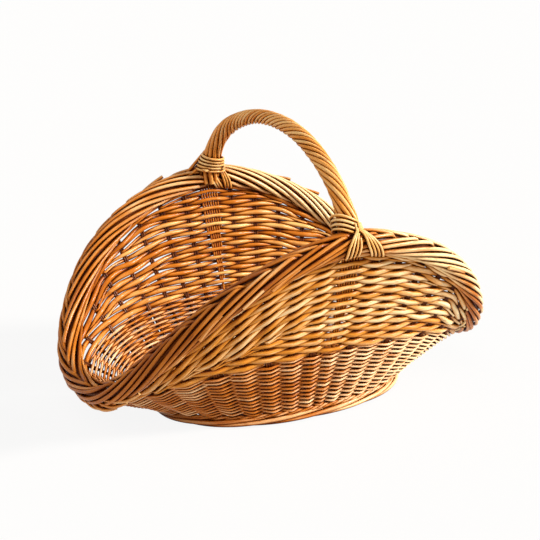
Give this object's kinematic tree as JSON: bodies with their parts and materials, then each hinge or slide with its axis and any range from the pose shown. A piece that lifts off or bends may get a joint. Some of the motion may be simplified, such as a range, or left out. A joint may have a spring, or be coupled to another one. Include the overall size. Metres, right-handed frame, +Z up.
{
  "type": "log carrier",
  "caption": "Oval woven willow log carrier with high sides, low open ends, a plaited rim, a rope-like foot and a fixed roped bow handle for carrying firewood.",
  "frame": {"origin": "centre of the footprint, on the surface that the basket stands on", "axes": "+X along the basket's long side, from end to end; +Y across it, from one foot of the handle to the other; +Z up"},
  "size_m": [0.6014, 0.443, 0.3958],
  "materials": {
    "willow_stakes": "semi-gloss varnish",
    "willow_fine_weave": "semi-gloss varnish",
    "willow_coarse_weave": "semi-gloss varnish",
    "willow_base": "satin varnish",
    "willow_border": "semi-gloss varnish",
    "willow_handle": "semi-gloss varnish",
    "willow_lashing": "semi-gloss varnish"
  },
  "bodies": {
    "root": {"stake_01": "willow_stakes", "stake_02": "willow_stakes", "stake_03": "willow_stakes", "stake_04": "willow_stakes", "stake_05": "willow_stakes", "stake_06": "willow_stakes", "stake_07": "willow_stakes", "stake_08": "willow_stakes", "stake_09": "willow_stakes", "stake_10": "willow_stakes", "stake_11": "willow_stakes", "stake_12": "willow_stakes", "stake_13": "willow_stakes", "stake_14": "willow_stakes", "stake_15": "willow_stakes", "stake_16": "willow_stakes", "stake_17": "willow_stakes", "stake_18": "willow_stakes", "stake_19": "willow_stakes", "stake_20": "willow_stakes", "stake_21": "willow_stakes", "stake_22": "willow_stakes", "stake_23": "willow_stakes", "stake_24": "willow_stakes", "stake_25": "willow_stakes", "stake_26": "willow_stakes", "stake_27": "willow_stakes", "stake_28": "willow_stakes", "stake_29": "willow_stakes", "stake_30": "willow_stakes", "stake_31": "willow_stakes", "stake_32": "willow_stakes", "stake_33": "willow_stakes", "stake_34": "willow_stakes", "stake_35": "willow_stakes", "stake_36": "willow_stakes", "stake_37": "willow_stakes", "stake_38": "willow_stakes", "lower_weave_1": "willow_fine_weave", "lower_weave_2": "willow_fine_weave", "back_weave_1": "willow_coarse_weave", "back_weave_2": "willow_coarse_weave", "back_weave_3": "willow_coarse_weave", "front_weave_1": "willow_coarse_weave", "front_weave_2": "willow_coarse_weave", "front_weave_3": "willow_coarse_weave", "base_weave_lower": "willow_base", "base_weave_upper": "willow_base", "base_slath": "willow_base", "foot_border": "willow_border", "rim_border": "willow_border", "handle_core": "willow_handle", "handle_wrap_1": "willow_handle", "handle_wrap_2": "willow_handle", "front_lashing": "willow_lashing", "back_lashing": "willow_lashing", "front_left_strap": "willow_lashing", "front_right_strap": "willow_lashing", "back_left_strap": "willow_lashing", "back_right_strap": "willow_lashing"}
  },
  "joints": []
}
